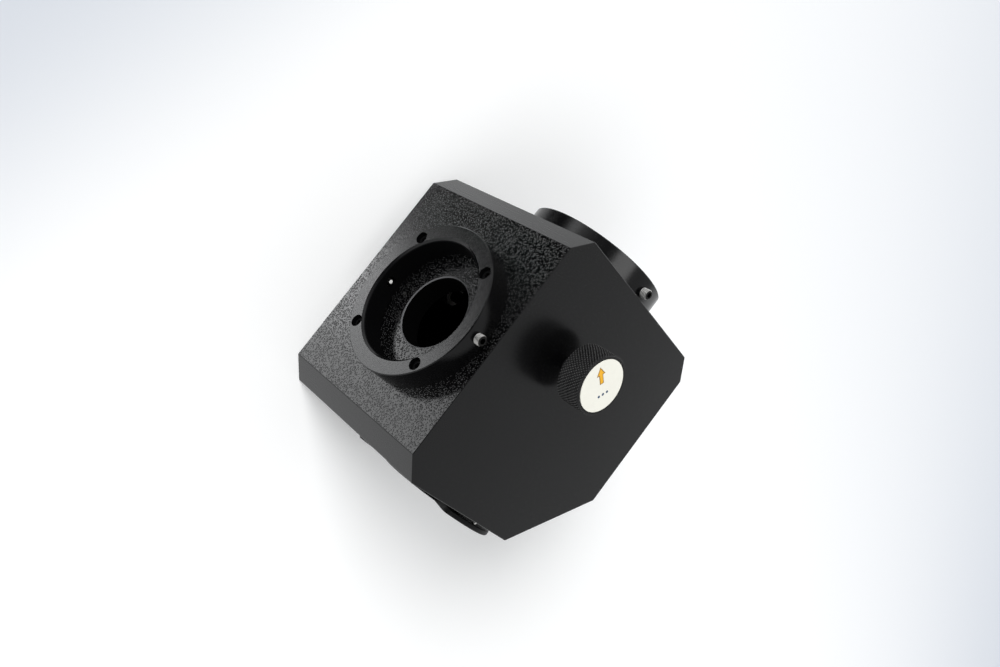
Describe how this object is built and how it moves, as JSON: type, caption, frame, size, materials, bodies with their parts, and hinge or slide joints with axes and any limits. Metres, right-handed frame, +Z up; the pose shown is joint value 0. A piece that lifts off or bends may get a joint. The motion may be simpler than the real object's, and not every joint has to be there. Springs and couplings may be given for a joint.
{
  "type": "microscope lamphouse coupler",
  "caption": "Lamphouse coupler for a microscope: a chamfered block with clamp-ring lamp ports, a bayonet flange and a knob that swings an inner mirror.",
  "frame": {"origin": "on the base, straight below the point where the light paths cross", "axes": "+Z up towards the knob, +Y out of the rear lamp port, -Y to the microscope, -X out of the side lamp port"},
  "size_m": [0.137, 0.1412, 0.1212],
  "materials": {
    "charcoal_coat": "satin charcoal coat, with a black wrinkle paint on the side port's face",
    "black_anodised": "satin black anodised, turned",
    "black_screw_steel": "black oxide",
    "nickel": "bright nickel plate",
    "steel": "ground",
    "black_plastic": "turned black bearing plastic",
    "white_plastic": "smooth",
    "mirror_coat": "front-surface mirror",
    "cream_label": "printed cream film with a plain orange arrow"
  },
  "bodies": {
    "block": {"housing": "charcoal_coat", "base_plate": "charcoal_coat", "base_plate_screws": "black_screw_steel", "side_ring": "black_anodised", "side_ring_screws": "black_screw_steel", "rear_ring": "black_anodised", "rear_ring_screws": "black_screw_steel", "microscope_flange": "black_anodised", "index_pin": "nickel", "lower_bush": "black_plastic", "upper_bush": "black_plastic", "thrust_washer": "white_plastic", "in_beam_stop": "steel", "parked_stop": "steel"},
    "mirror": {"mirror_shaft": "steel", "retaining_clip": "steel", "friction_spring": "steel", "mirror_carrier": "black_anodised", "carrier_screws": "steel", "mirror_glass": "mirror_coat", "knob": "black_anodised", "knob_set_screw": "black_screw_steel", "knob_label": "cream_label"},
    "side_clamp_screw_top": {"side_clamp_screw_top": "nickel"},
    "side_clamp_screw_bottom": {"side_clamp_screw_bottom": "nickel"},
    "rear_clamp_screw_top": {"rear_clamp_screw_top": "nickel"},
    "rear_clamp_screw_bottom": {"rear_clamp_screw_bottom": "nickel"}
  },
  "joints": [
    {"name": "mirror_turn", "type": "hinge", "parent": "block", "child": "mirror", "pos_m": [-0.0175, 0.0175, 0.058], "axis": [0, 0, 1], "range_deg": [-75, 0]},
    {"name": "side_clamp_top_slide", "type": "slide", "parent": "block", "child": "side_clamp_screw_top", "axis": [0, 0, -1], "range_m": [-0.002, 0.003]},
    {"name": "side_clamp_bottom_slide", "type": "slide", "parent": "block", "child": "side_clamp_screw_bottom", "axis": [0, 0, 1], "range_m": [-0.002, 0.003]},
    {"name": "rear_clamp_top_slide", "type": "slide", "parent": "block", "child": "rear_clamp_screw_top", "axis": [0, 0, -1], "range_m": [-0.002, 0.003]},
    {"name": "rear_clamp_bottom_slide", "type": "slide", "parent": "block", "child": "rear_clamp_screw_bottom", "axis": [0, 0, 1], "range_m": [-0.002, 0.003]}
  ]
}
